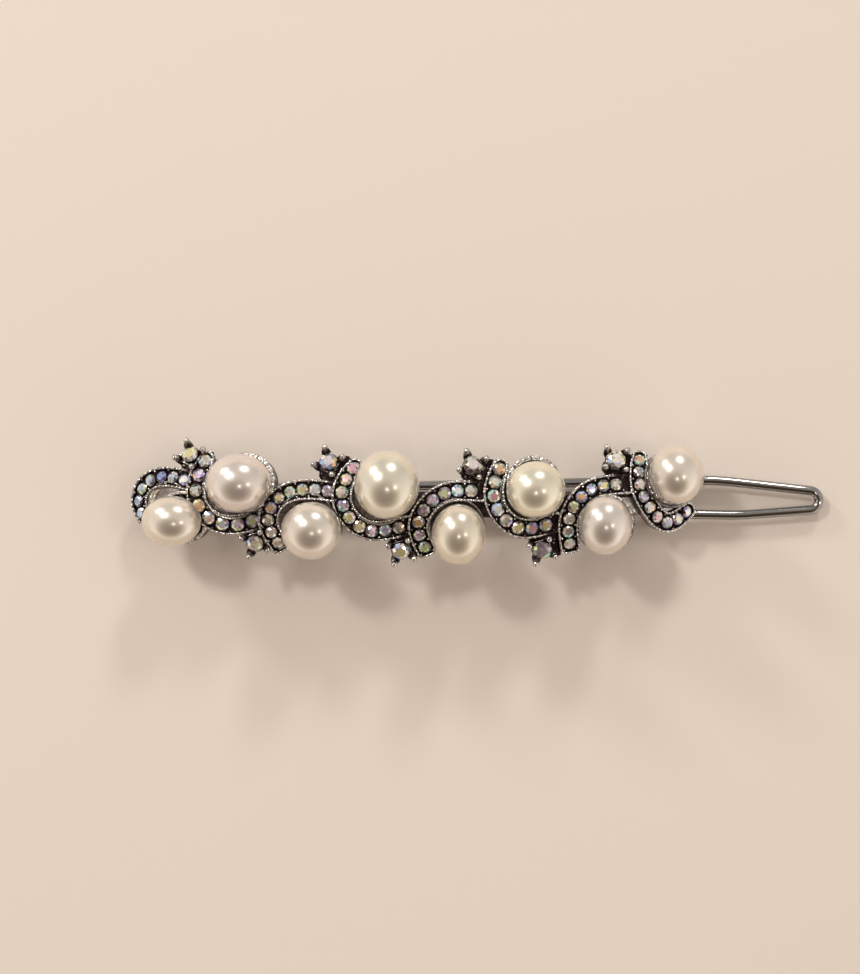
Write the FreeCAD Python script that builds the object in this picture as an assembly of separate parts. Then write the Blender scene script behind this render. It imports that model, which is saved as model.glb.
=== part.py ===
"""Barrette: eight pearls in crescents of small stones, on a wire-loop clasp.

X runs along the barrette, Y across it and Z up. The barrette lies on its clasp with
the pearls upward, and the origin is the middle of its footprint. Lengths are in mm.
"""
import FreeCAD
import Part
import math
import os

V = FreeCAD.Vector

# Moves the whole model so that the middle of its footprint is at the origin
CENTRING = V(0.0, 0.29, 0.0)

# Deck: the bowed and domed surface that carries the stones
DECK_TOP = 9.5
BOW_RADIUS = 157.0
BOW_X = -6.3
DOME_RADIUS = 15.0
DOME_Y = -0.3
LEFT_END_X = -36.2
RIGHT_END_X = 19.8

# Crescent channels: a U section that follows the deck
CHANNEL_HALF = 1.3
GROOVE_HALF = 0.98
RIM_ABOVE = 0.12
GROOVE_DEPTH = 0.85
CHANNEL_DEPTH = 1.5
CHANNEL_OVERRUN = 1.25
GROOVE_OVERRUN = 0.95
FLOOR_THICKNESS = 0.8
FLOOR_PAST_CUP = 0.3

# Pearls, their cups and the pegs they are glued on
PEARL_LIFT = 2.4
PEARL_FLATNESS = 0.93
PEARL_CLEARANCE = 0.05
CUP_ABOVE = 0.75
CUP_BELOW = 1.5
PEG_RADIUS = 0.5
PEG_HOLE_RADIUS = 0.55
PEG_LENGTH = 2.2
PEG_ROOT = 0.3
PEG_HOLE_DEPTH = 2.6

# Claw settings
CLAW_REACH = 1.9
CLAW_RADIUS = 0.26
CLAW_TIP_RADIUS = 0.34
BOX_HALF_TOP = 1.35
BOX_HALF_FOOT = 0.8
BOX_ABOVE = 0.1
BOX_BELOW = 2.0
WEB_WIDTH = 2.4

# Base strip of the casting, and the steel bar riveted under it
STRIP_Y = -0.6
STRIP_HALF = 1.6
STRIP_TOP = 8.3
BAR_TOP = 7.3
BAR_BOTTOM = 6.6
BAR_HALF = 1.3
BACK_Y = 0.2
BAR_LEFT_X = -39.2
BAR_RIGHT_X = 24.9
RIVET_XS = (-24.0, 11.0)
RIVET_RADIUS = 0.7
RIVET_HEAD_RADIUS = 1.1
RIVET_HEAD_HEIGHT = 0.45

# Clasp: hinge ears, catch hooks and the wire loop
HINGE_X = -36.8
WIRE_Z = 1.25
WIRE_RADIUS = 0.6
PIN_CLEARANCE = 0.05
EAR_INNER = 2.75
EAR_THICKNESS = 0.7
EAR_HALF_LENGTH = 1.25
WIRE_END = 3.75
LEG_HALF_AT_HINGE = 1.0
BEND_RADIUS = 0.85
LEG_BEND_RADIUS = 30.0
CATCH_LEFT_X = 21.9
CATCH_RIGHT_X = 24.5
HOOK_INNER = 3.2
HOOK_THICKNESS = 0.5
HOOK_LIP_INNER = 2.98
HOOK_LIP_HEIGHT = 0.55
WEB_THICKNESS = 0.6
LOOP_END_X = 42.9
LOOP_END_RADIUS = 1.2

# Each unit: pearl (x, y, width, breadth), cup (x, y, radius), stones in the crescent,
# and five points (x, y) on the crescent's middle line from its first to its last stone
UNITS = [
    ((-37.82, -2.62, 7.46, 6.3), (-36.5, -2.1, 3.3), 7,
     [(-42.0, -1.7), (-42.35, 0.0), (-41.3, 2.1), (-39.1, 2.85), (-36.4, 2.5)]),
    ((-29.5, 2.05, 8.15, 7.25), (-28.7, 2.1, 3.6), 8,
     [(-33.9, 4.8), (-34.95, 1.9), (-34.5, -1.0), (-31.7, -3.0), (-27.9, -2.6)]),
    ((-20.55, -3.75, 7.4, 7.1), (-20.1, -3.4, 3.2), 9,
     [(-24.8, -5.3), (-25.95, -2.8), (-25.1, -0.2), (-22.2, 1.2), (-18.6, 1.1)]),
    ((-11.3, 1.85, 8.0, 8.45), (-10.9, 1.9, 3.5), 9,
     [(-15.5, 3.9), (-16.8, 1.2), (-16.3, -1.6), (-13.6, -3.7), (-9.9, -3.4)]),
    ((-2.55, -4.2, 6.65, 7.45), (-2.4, -3.6, 3.1), 8,
     [(-6.7, -5.8), (-7.5, -3.4), (-6.2, -0.5), (-3.6, 1.0), (-1.0, 1.1)]),
    ((6.85, 1.25, 7.25, 7.0), (6.7, 2.0, 3.3), 8,
     [(2.5, 3.8), (1.8, 1.2), (2.6, -1.7), (5.0, -3.45), (8.2, -3.1)]),
    ((15.4, -3.1, 6.55, 7.3), (15.7, -2.5, 3.3), 8,
     [(11.2, -5.4), (11.0, -2.9), (12.1, -0.2), (14.1, 1.4), (16.9, 1.9)]),
    ((24.3, 3.1, 6.9, 7.35), (23.6, 2.5, 3.2), 9,
     [(19.9, 4.9), (19.9, 2.0), (21.2, -1.0), (23.3, -2.8), (25.9, -1.5)]),
]

# Each claw setting: x, y, stone radius, and the direction of its first claw in degrees
CLAWS = [
    (-35.8, 5.5, 1.02, 15),
    (-27.6, -5.3, 1.05, 65),
    (-18.5, 4.6, 1.12, 15),
    (-9.6, -6.2, 1.12, 62),
    (-0.8, 4.2, 1.2, 24),
    (7.75, -6.1, 1.22, 65),
    (16.9, 4.9, 1.22, 38),
]


def bow(x):
    """Drop of the lengthwise curve below its crest."""
    return BOW_RADIUS - math.sqrt(BOW_RADIUS ** 2 - (x - BOW_X) ** 2)


def deck(x, y):
    """Height of the deck: a bowed ridge with a rounded section and rounded ends."""
    ridge_x = min(max(x, LEFT_END_X), RIGHT_END_X)
    past_end = x - ridge_x
    ridge = DECK_TOP - bow(ridge_x) - past_end * (ridge_x - BOW_X) / BOW_RADIUS
    off_ridge = math.hypot(past_end, y - DOME_Y)
    return ridge - (DOME_RADIUS - math.sqrt(DOME_RADIUS ** 2 - off_ridge ** 2))


def deck_point(x, y):
    return V(x, y, deck(x, y))


def deck_normal(x, y):
    step = 0.01
    slope_x = (deck(x + step, y) - deck(x - step, y)) / (2 * step)
    slope_y = (deck(x, y + step) - deck(x, y - step)) / (2 * step)
    return V(-slope_x, -slope_y, 1).normalize()


def placement(x, y, turn=0.0):
    """A frame on the deck whose Z is the deck's normal, turned about it in degrees."""
    tilt = FreeCAD.Rotation(V(0, 0, 1), deck_normal(x, y))
    spin = FreeCAD.Rotation(V(0, 0, 1), turn)
    return FreeCAD.Placement(deck_point(x, y), tilt.multiply(spin))


def crescent_curve(points):
    """The crescent's middle line: a spline through its points, laid on the deck."""
    flat = Part.BSplineCurve()
    flat.interpolate([V(x, y, 0) for x, y in points])
    steps = 24
    first, last = flat.FirstParameter, flat.LastParameter
    laid = []
    for i in range(steps + 1):
        p = flat.value(first + (last - first) * i / steps)
        laid.append(deck_point(p.x, p.y))
    curve = Part.BSplineCurve()
    curve.interpolate(laid)
    return curve


def along(curve, distance):
    """Point and direction at a distance along the curve, straight on past its ends."""
    length = curve.length()
    inside = min(max(distance, 0.0), length)
    u = curve.parameterAtDistance(inside, curve.FirstParameter)
    direction = V(*curve.tangent(u)[0]).normalize()
    point = curve.value(u) + direction * (distance - inside)
    return point, direction


def crescent_bar(points, half, low, high, overrun):
    """A bar along the crescent, from low to high about the deck, running past both ends."""
    curve = crescent_curve(points)
    profile = [(-half, low), (half, low), (half, high), (-half, high)]
    sections = 11
    start = -overrun
    span = curve.length() + 2 * overrun
    wires = []
    for i in range(sections):
        point, direction = along(curve, start + span * i / (sections - 1))
        up = deck_normal(point.x, point.y)
        side = up.cross(direction).normalize()
        corners = [point + side * s + up * h for s, h in profile]
        wires.append(Part.makePolygon(corners + [corners[0]]))
    return Part.makeLoft(wires, True, False)


def crescent_floor(points, cup):
    """The plate inside a crescent, between its channel and the pearl's cup."""
    first, middle, last = (V(*points[i], 0) for i in (0, 2, 4))
    circle = Part.Circle(first, middle, last)
    radius = min(circle.Radius - GROOVE_HALF, cup[2] + FLOOR_PAST_CUP)
    inward = (circle.Center - middle).normalize()
    centre = middle + inward * (radius + GROOVE_HALF)
    plate = Part.makeCylinder(radius, FLOOR_THICKNESS, V(0, 0, -CHANNEL_DEPTH))
    plate.Placement = placement(centre.x, centre.y)
    return plate


def pearl_placement(pearl):
    """The deck frame whose normal passes through the pearl's middle."""
    x, y = pearl[:2]
    for _ in range(6):
        lean = deck_normal(x, y) * PEARL_LIFT
        x = pearl[0] - lean.x
        y = pearl[1] - lean.y
    return placement(x, y)


def pearl_body(pearl, grow=0.0):
    """A slightly flattened, slightly oval ball above its cup."""
    width, breadth = pearl[2:]
    depth = PEARL_FLATNESS * (width + breadth) / 2
    stretch = FreeCAD.Matrix()
    stretch.scale(width / 2 + grow, breadth / 2 + grow, depth / 2 + grow)
    ball = Part.makeSphere(1.0).transformGeometry(stretch)
    ball.translate(V(0, 0, PEARL_LIFT))
    ball.Placement = pearl_placement(pearl).multiply(ball.Placement)
    return ball


def pearl_bottom(pearl):
    return PEARL_LIFT - PEARL_FLATNESS * (pearl[2] + pearl[3]) / 4


def drilled_pearl(pearl):
    bottom = pearl_bottom(pearl)
    hole = Part.makeCylinder(PEG_HOLE_RADIUS, PEG_HOLE_DEPTH + 1, V(0, 0, bottom - 1))
    hole.Placement = pearl_placement(pearl)
    return pearl_body(pearl).cut(hole)


def peg(pearl):
    bottom = pearl_bottom(pearl)
    pin = Part.makeCylinder(PEG_RADIUS, PEG_LENGTH + PEG_ROOT, V(0, 0, bottom - PEG_ROOT))
    pin.Placement = pearl_placement(pearl)
    return pin


def cup_blank(cup):
    """The cup before its pearl's shape is taken out of it."""
    x, y, radius = cup
    blank = Part.makeCone(radius - 0.5, radius, CUP_ABOVE + CUP_BELOW, V(0, 0, -CUP_BELOW))
    blank.Placement = placement(x, y)
    return blank


def square(half, height):
    corners = [V(half, half, height), V(-half, half, height),
               V(-half, -half, height), V(half, -half, height)]
    return Part.makePolygon(corners + [corners[0]])


def claw_setting(x, y, stone_radius, turn):
    """A tapered square box with a conical seat and four ball-tipped claws."""
    box = Part.makeLoft([square(BOX_HALF_FOOT, -BOX_BELOW), square(BOX_HALF_TOP, BOX_ABOVE)],
                        True, True)
    seat = Part.makeCone(0.3, stone_radius + 0.08, 1.0, V(0, 0, BOX_ABOVE - 0.95))
    pieces = []
    for quarter in range(4):
        angle = math.radians(45 + 90 * quarter)
        outward = V(math.cos(angle), math.sin(angle), 0)
        foot = outward * (BOX_HALF_TOP * 1.2) + V(0, 0, -1.0)
        tip = outward * CLAW_REACH + V(0, 0, 0.75)
        claw = Part.makeCylinder(CLAW_RADIUS, (tip - foot).Length, foot, tip - foot)
        pieces.append(claw)
        pieces.append(Part.makeSphere(CLAW_TIP_RADIUS, tip))
    setting = box.cut(seat).multiFuse(pieces)
    setting.Placement = placement(x, y, turn - 45)
    return setting


def claw_web(x, y):
    """The bar of metal that ties a claw setting to the base strip."""
    side = 1 if y > 0 else -1
    inner_y = STRIP_Y + side * (STRIP_HALF - 0.6)
    outer = deck_point(x, y) - deck_normal(x, y) * (BOX_BELOW - 0.55)
    inner = V(x, inner_y, STRIP_TOP - bow(x) - 0.5)
    reach = outer - inner
    web = Part.makeBox(WEB_WIDTH, 1.0, reach.Length, V(-WEB_WIDTH / 2, -0.5, 0))
    web.Placement = FreeCAD.Placement(inner, FreeCAD.Rotation(V(1, 0, 0), V(0, 0, 1), reach, "ZXY"))
    return web


def bowed_plate(left, right, top, bottom, low_y, high_y):
    """A flat-sectioned plate that follows the bow, from low_y to high_y."""
    def arc(level, x_from, x_to):
        middle = (x_from + x_to) / 2
        ends = [V(x, low_y, level - bow(x)) for x in (x_from, middle, x_to)]
        return Part.Arc(*ends).toShape()

    upper = arc(top, left, right)
    lower = arc(bottom, right, left)
    down = Part.makeLine(V(right, low_y, top - bow(right)), V(right, low_y, bottom - bow(right)))
    back = Part.makeLine(V(left, low_y, bottom - bow(left)), V(left, low_y, top - bow(left)))
    outline = Part.Wire([upper, down, lower, back])
    return Part.Face(outline).extrude(V(0, high_y - low_y, 0))


def rivet_shank(x, radius, upper_end):
    """A post square to the bar, from its underside up to upper_end above it."""
    foot = V(x, STRIP_Y, BAR_BOTTOM - bow(x))
    lean = V(x - BOW_X, 0, BOW_RADIUS).normalize()
    return Part.makeCylinder(radius, upper_end, foot, lean)


def rivets():
    shanks = []
    for x in RIVET_XS:
        foot = V(x, STRIP_Y, BAR_BOTTOM - bow(x) - 0.02)
        lean = V(x - BOW_X, 0, BOW_RADIUS).normalize()
        head = Part.makeCone(0.75, RIVET_HEAD_RADIUS, RIVET_HEAD_HEIGHT,
                             foot - lean * RIVET_HEAD_HEIGHT, lean)
        shank = Part.makeCylinder(RIVET_RADIUS, 1.32, foot, lean)
        shanks.append(head.fuse(shank))
    return Part.makeCompound(shanks)


def cast_setting():
    strip = bowed_plate(BAR_LEFT_X, BAR_RIGHT_X, STRIP_TOP, BAR_TOP,
                        STRIP_Y - STRIP_HALF, STRIP_Y + STRIP_HALF)
    pieces = []
    for pearl, cup, stones, points in UNITS:
        pieces.append(crescent_bar(points, CHANNEL_HALF, -CHANNEL_DEPTH, RIM_ABOVE,
                                   CHANNEL_OVERRUN))
        pieces.append(crescent_floor(points, cup))
        pieces.append(cup_blank(cup))
    for x, y, stone_radius, turn in CLAWS:
        pieces.append(claw_web(x, y))
        pieces.append(claw_setting(x, y, stone_radius, turn))
    casting = strip.multiFuse(pieces)
    hollows = []
    for pearl, cup, stones, points in UNITS:
        hollows.append(crescent_bar(points, GROOVE_HALF, -GROOVE_DEPTH, CUP_ABOVE + 0.2,
                                    GROOVE_OVERRUN))
        hollows.append(pearl_body(pearl, PEARL_CLEARANCE))
    hollows.append(bowed_plate(BAR_LEFT_X, BAR_RIGHT_X, BAR_TOP, BAR_BOTTOM - WEB_THICKNESS,
                               STRIP_Y - BAR_HALF, STRIP_Y + BAR_HALF))
    casting = casting.cut(hollows)
    casting = casting.multiFuse([peg(unit[0]) for unit in UNITS])
    holes = [rivet_shank(x, RIVET_RADIUS + 0.03, 1.34) for x in RIVET_XS]
    return casting.cut(holes)


def chaton(radius):
    """A round stone: flat table, sloped crown, thin girdle and pointed back."""
    outline = [V(0, 0, -0.72 * radius), V(radius, 0, -0.06 * radius), V(radius, 0, 0.06 * radius),
               V(0.6 * radius, 0, 0.4 * radius), V(0, 0, 0.4 * radius)]
    face = Part.Face(Part.makePolygon(outline + [outline[0]]))
    return face.revolve(V(0, 0, 0), V(0, 0, 1), 360)


def channel_stones(points, count):
    curve = crescent_curve(points)
    spacing = curve.length() / (count - 1)
    radius = min(0.86, spacing / 2 - 0.03)
    stones = []
    for i in range(count):
        point = along(curve, spacing * i)[0]
        stone = chaton(radius)
        stone.Placement = placement(point.x, point.y)
        stones.append(stone)
    return Part.makeCompound(stones)


def claw_stone(x, y, radius):
    stone = chaton(radius)
    seated = FreeCAD.Placement(V(0, 0, BOX_ABOVE + 0.14), FreeCAD.Rotation())
    stone.Placement = placement(x, y).multiply(seated)
    return stone


def back_bar():
    bar = bowed_plate(BAR_LEFT_X, BAR_RIGHT_X, BAR_TOP, BAR_BOTTOM,
                      STRIP_Y - BAR_HALF, STRIP_Y + BAR_HALF)
    return bar.cut([rivet_shank(x, RIVET_RADIUS + 0.03, 1.34) for x in RIVET_XS])


def side_plate(outline, y_from, y_to):
    points = [V(x, y_from, z) for x, z in outline]
    face = Part.Face(Part.makePolygon(points + [points[0]]))
    return face.extrude(V(0, y_to - y_from, 0))


def hinge_bracket():
    """A folded strip under the bar whose two ears hold the ends of the wire."""
    left = HINGE_X - EAR_HALF_LENGTH
    right = HINGE_X + EAR_HALF_LENGTH
    outer = EAR_INNER + EAR_THICKNESS
    web = bowed_plate(left, right, BAR_BOTTOM, BAR_BOTTOM - WEB_THICKNESS,
                      BACK_Y - outer, BACK_Y + outer)
    ear_top = BAR_BOTTOM - WEB_THICKNESS / 2
    outline = [(left, ear_top - bow(left)), (left, 0.7), (left + 0.7, 0.0),
               (right - 0.7, 0.0), (right, 0.7), (right, ear_top - bow(right))]
    ears = []
    for side in (-1, 1):
        y_from, y_to = sorted((BACK_Y + side * EAR_INNER, BACK_Y + side * outer))
        ears.append(side_plate(outline, y_from, y_to))
    pivot = Part.makeCylinder(WIRE_RADIUS + PIN_CLEARANCE, 2 * outer + 2,
                              V(HINGE_X, BACK_Y - outer - 1, WIRE_Z), V(0, 1, 0))
    return web.multiFuse(ears).cut(pivot)


def catch_bracket():
    """A folded strip under the bar with two short inward lips beside the wire."""
    outer = HOOK_INNER + HOOK_THICKNESS
    web = bowed_plate(CATCH_LEFT_X, CATCH_RIGHT_X, BAR_BOTTOM, BAR_BOTTOM - WEB_THICKNESS,
                      BACK_Y - outer, BACK_Y + outer)
    wall_top = BAR_BOTTOM - WEB_THICKNESS / 2
    walls = []
    for side in (-1, 1):
        y_from, y_to = sorted((BACK_Y + side * HOOK_INNER, BACK_Y + side * outer))
        outline = [(CATCH_LEFT_X, wall_top - bow(CATCH_LEFT_X)), (CATCH_LEFT_X, 0.0),
                   (CATCH_RIGHT_X, 0.0), (CATCH_RIGHT_X, wall_top - bow(CATCH_RIGHT_X))]
        walls.append(side_plate(outline, y_from, y_to))
        y_from, y_to = sorted((BACK_Y + side * HOOK_LIP_INNER, BACK_Y + side * outer))
        lip = [(CATCH_LEFT_X, HOOK_LIP_HEIGHT), (CATCH_LEFT_X, 0.0),
               (CATCH_RIGHT_X, 0.0), (CATCH_RIGHT_X, HOOK_LIP_HEIGHT)]
        walls.append(side_plate(lip, y_from, y_to))
    return web.multiFuse(walls)


def rounded_path(corners, radii):
    """Straight runs through the corners, joined by tangent arcs of the given radii."""
    edges = []
    run_start = corners[0]
    for before, corner, after, radius in zip(corners, corners[1:], corners[2:], radii):
        towards = (before - corner).normalize()
        onwards = (after - corner).normalize()
        half_angle = towards.getAngle(onwards) / 2
        setback = radius / math.tan(half_angle)
        bisector = (towards + onwards).normalize()
        middle = corner + bisector * (radius / math.sin(half_angle) - radius)
        arc_start = corner + towards * setback
        arc_end = corner + onwards * setback
        edges.append(Part.makeLine(run_start, arc_start))
        edges.append(Part.Arc(arc_start, middle, arc_end).toShape())
        run_start = arc_end
    edges.append(Part.makeLine(run_start, corners[-1]))
    return Part.Wire(edges)


def wire_loop():
    """A hairpin of spring wire: hooked ends in the ears, rounded end past the pearls."""
    outline = [
        (HINGE_X, BACK_Y + WIRE_END), (HINGE_X, BACK_Y + LEG_HALF_AT_HINGE),
        (30.0, 2.45), (LOOP_END_X, 1.02), (LOOP_END_X, -1.22), (33.0, -1.95),
        (HINGE_X, BACK_Y - LEG_HALF_AT_HINGE), (HINGE_X, BACK_Y - WIRE_END),
    ]
    radii = [BEND_RADIUS, LEG_BEND_RADIUS, LOOP_END_RADIUS, LOOP_END_RADIUS,
             LEG_BEND_RADIUS, BEND_RADIUS]
    path = rounded_path([V(x, y, WIRE_Z) for x, y in outline], radii)
    section = Part.Wire(Part.makeCircle(WIRE_RADIUS, V(HINGE_X, BACK_Y + WIRE_END, WIRE_Z),
                                        V(0, 1, 0)))
    return path.makePipeShell([section], True, False)


def write(name, shape):
    shape.translate(CENTRING)
    solids = shape.Solids
    if not shape.isValid() or not solids:
        print("NOT VALID", name)
    shape.exportStep("parts/%s.step" % name)
    print("%-20s %2d solids  %8.2f mm3" % (name, len(solids), shape.Volume))


os.makedirs("parts", exist_ok=True)
write("cast_setting", cast_setting())
for number, (pearl, cup, stones, points) in enumerate(UNITS, 1):
    write("pearl_%d" % number, drilled_pearl(pearl))
    write("channel_stones_%d" % number, channel_stones(points, stones))
for number, (x, y, stone_radius, turn) in enumerate(CLAWS, 1):
    write("claw_stone_%d" % number, claw_stone(x, y, stone_radius))
write("back_bar", back_bar())
write("rivets", rivets())
write("hinge_bracket", hinge_bracket())
write("catch_bracket", catch_bracket())
write("wire_loop", wire_loop())
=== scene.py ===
"""Looks of the barrette: pearls, faceted stones, oxidised silver casting and wire clasp.

Lengths in this script are in millimetres until a mesh is made, in the CAD's own frame.
"""
import math
import random

import bmesh
import bpy
import numpy as np
from mathutils import Matrix, Vector


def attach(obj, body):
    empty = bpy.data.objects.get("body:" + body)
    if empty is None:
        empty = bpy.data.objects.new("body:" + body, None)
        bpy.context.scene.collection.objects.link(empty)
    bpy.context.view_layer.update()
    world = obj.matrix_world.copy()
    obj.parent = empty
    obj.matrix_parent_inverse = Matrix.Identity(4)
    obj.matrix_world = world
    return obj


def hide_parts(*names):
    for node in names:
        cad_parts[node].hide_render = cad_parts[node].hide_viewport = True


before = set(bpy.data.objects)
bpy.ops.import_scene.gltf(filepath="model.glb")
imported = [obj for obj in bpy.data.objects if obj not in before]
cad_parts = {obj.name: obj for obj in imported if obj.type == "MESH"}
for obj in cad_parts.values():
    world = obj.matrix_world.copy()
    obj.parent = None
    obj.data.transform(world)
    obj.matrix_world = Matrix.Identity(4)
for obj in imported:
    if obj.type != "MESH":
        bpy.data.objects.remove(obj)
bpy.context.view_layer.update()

MM = 0.001
CENTRE_Y = 0.29

# Deck: the bowed and domed surface that carries the stones
DECK_TOP = 9.5
BOW_RADIUS = 157.0
BOW_X = -6.3
DOME_RADIUS = 15.0
DOME_Y = -0.3
LEFT_END_X = -36.2
RIGHT_END_X = 19.8

# Crescent channels
CHANNEL_HALF = 1.3
GROOVE_HALF = 0.98
RIM_ABOVE = 0.12
CHANNEL_DEPTH = 1.5
CHANNEL_OVERRUN = 1.2
CHANNEL_TUCK = 2.1
GROOVE_FLOOR = -0.55
SUNK_RIM = -CHANNEL_DEPTH + 0.3
SQUARE_STARTS = (3, 5, 7)
FLOOR_PAST_CUP = 0.3

# Pearls and cups
PEARL_LIFT = 2.4
PEARL_FLATNESS = 0.93
CUP_ABOVE = 0.72
CUP_BELOW = 1.5
CUP_FLOOR = -1.1
CUP_WALL = 0.42
STOUT_CUP_WALL = 0.62
STOUT_CUPS = (2, 6)

# Claw settings
CLAW_REACH = 1.9
BOX_HALF_TOP = 1.35
BOX_HALF_FOOT = 0.8
BOX_ABOVE = 0.1
BOX_BELOW = 2.0

# Webs between the claw settings and the base strip
WEB_TOP = -0.55
WEB_FOOT = -1.45
WEB_BEADS = 34

# Base strip and the clasp behind it
STRIP_Y = -0.6
STRIP_HALF = 1.6
STRIP_TOP = 8.3
STRIP_BOTTOM = 7.3
STRIP_LEFT_X = -39.2
STRIP_RIGHT_X = 24.9
BACK_Y = 0.2
HINGE_X = -36.8
WIRE_Z = 1.25
WIRE_RADIUS = 0.6
WIRE_END = 3.75
LEG_HALF_AT_HINGE = 1.0
BEND_RADIUS = 0.85
LEG_BEND_RADIUS = 30.0
LOOP_END_X = 42.9
LOOP_END_RADIUS = 1.2

# Each unit: pearl (x, y, width, breadth), cup (x, y, radius), stones in the crescent,
# and five points (x, y) on the crescent's middle line from its first to its last stone
UNITS = [
    ((-37.82, -2.62, 7.46, 6.3), (-36.5, -2.1, 3.3), 7,
     [(-42.0, -1.7), (-42.35, 0.0), (-41.3, 2.1), (-39.1, 2.85), (-36.4, 2.5)]),
    ((-29.5, 2.05, 8.15, 7.25), (-28.7, 2.1, 3.6), 8,
     [(-33.9, 4.8), (-34.95, 1.9), (-34.5, -1.0), (-31.7, -3.0), (-27.9, -2.6)]),
    ((-20.55, -3.75, 7.4, 7.1), (-20.1, -3.4, 3.2), 9,
     [(-24.8, -5.3), (-25.95, -2.8), (-25.1, -0.2), (-22.2, 1.2), (-18.6, 1.1)]),
    ((-11.3, 1.85, 8.0, 8.45), (-10.9, 1.9, 3.5), 9,
     [(-15.5, 3.9), (-16.8, 1.2), (-16.3, -1.6), (-13.6, -3.7), (-9.9, -3.4)]),
    ((-2.55, -4.2, 6.65, 7.45), (-2.4, -3.6, 3.1), 8,
     [(-6.7, -5.8), (-7.5, -3.4), (-6.2, -0.5), (-3.6, 1.0), (-1.0, 1.1)]),
    ((6.85, 1.25, 7.25, 7.0), (6.7, 2.0, 3.3), 8,
     [(2.5, 3.8), (1.8, 1.2), (2.6, -1.7), (5.0, -3.45), (8.2, -3.1)]),
    ((15.4, -3.1, 6.55, 7.3), (15.7, -2.5, 3.3), 8,
     [(11.2, -5.4), (11.0, -2.9), (12.1, -0.2), (14.1, 1.4), (16.9, 1.9)]),
    ((24.3, 3.1, 6.9, 7.35), (23.6, 2.5, 3.2), 9,
     [(19.9, 4.9), (19.9, 2.0), (21.2, -1.0), (23.3, -2.8), (25.9, -1.5)]),
]

# Each claw setting: x, y, stone radius, and the direction of its first claw in degrees
CLAWS = [
    (-35.8, 5.5, 1.02, 15),
    (-27.6, -5.3, 1.05, 65),
    (-18.5, 4.6, 1.12, 15),
    (-9.6, -6.2, 1.12, 62),
    (-0.8, 4.2, 1.2, 24),
    (7.75, -6.1, 1.22, 65),
    (16.9, 4.9, 1.22, 38),
]

# Body colour of each pearl, left to right
PEARL_TINTS = [
    (0.71, 0.64, 0.55), (0.69, 0.62, 0.56), (0.69, 0.62, 0.54), (0.71, 0.66, 0.54),
    (0.70, 0.63, 0.51), (0.74, 0.69, 0.55), (0.68, 0.62, 0.555), (0.70, 0.63, 0.545),
]


# ---------------------------------------------------------------- deck geometry

def bow(x):
    """Drop of the lengthwise curve below its crest."""
    return BOW_RADIUS - np.sqrt(BOW_RADIUS ** 2 - (x - BOW_X) ** 2)


def deck(x, y):
    """Height of the deck: a bowed ridge with a rounded section and rounded ends."""
    ridge_x = np.clip(x, LEFT_END_X, RIGHT_END_X)
    past_end = x - ridge_x
    ridge = DECK_TOP - bow(ridge_x) - past_end * (ridge_x - BOW_X) / BOW_RADIUS
    off_ridge = np.hypot(past_end, y - DOME_Y)
    return ridge - (DOME_RADIUS - np.sqrt(DOME_RADIUS ** 2 - off_ridge ** 2))


def unit(vectors):
    return vectors / np.linalg.norm(vectors, axis=-1, keepdims=True)


def deck_normal(x, y):
    step = 0.01
    slope_x = (deck(x + step, y) - deck(x - step, y)) / (2 * step)
    slope_y = (deck(x, y + step) - deck(x, y - step)) / (2 * step)
    return unit(np.stack([-slope_x, -slope_y, np.ones_like(slope_x)], axis=-1))


def deck_point(x, y):
    return np.stack([x, y, deck(x, y)], axis=-1)


class Seat:
    """A flat frame standing on the deck, turned about the deck's normal."""

    def __init__(self, x, y, turn=0.0):
        x, y = np.float64(x), np.float64(y)
        normal = Vector(deck_normal(x, y))
        tilt = Vector((0, 0, 1)).rotation_difference(normal).to_matrix()
        self.axes = np.array(tilt @ Matrix.Rotation(math.radians(turn), 3, "Z"))
        self.origin = deck_point(x, y)

    def place(self, local):
        return np.asarray(local) @ self.axes.T + self.origin


def pearl_seat(pearl):
    """The deck frame whose normal passes through the pearl's middle."""
    x, y = pearl[:2]
    for _ in range(6):
        lean = deck_normal(np.float64(x), np.float64(y)) * PEARL_LIFT
        x = pearl[0] - lean[0]
        y = pearl[1] - lean[1]
    return Seat(x, y)


def spline_points(points, count):
    """A natural cubic spline through the points, sampled evenly by chord length."""
    knots = np.array(points, dtype=float)
    t = np.concatenate([[0], np.cumsum(np.linalg.norm(np.diff(knots, axis=0), axis=1))])
    n = len(knots)
    gaps = np.diff(t)
    system = np.eye(n)
    right = np.zeros((n, 2))
    for i in range(1, n - 1):
        system[i, i - 1:i + 2] = [gaps[i - 1], 2 * (gaps[i - 1] + gaps[i]), gaps[i]]
        right[i] = 6 * ((knots[i + 1] - knots[i]) / gaps[i] - (knots[i] - knots[i - 1]) / gaps[i - 1])
    bend = np.linalg.solve(system, right)
    out = []
    for u in np.linspace(0, t[-1], count):
        i = min(np.searchsorted(t, u, side="right") - 1, n - 2)
        a, b, h = t[i + 1] - u, u - t[i], gaps[i]
        out.append((bend[i] * a ** 3 + bend[i + 1] * b ** 3) / (6 * h)
                   + (knots[i] / h - bend[i] * h / 6) * a
                   + (knots[i + 1] / h - bend[i + 1] * h / 6) * b)
    return np.array(out)


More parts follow.
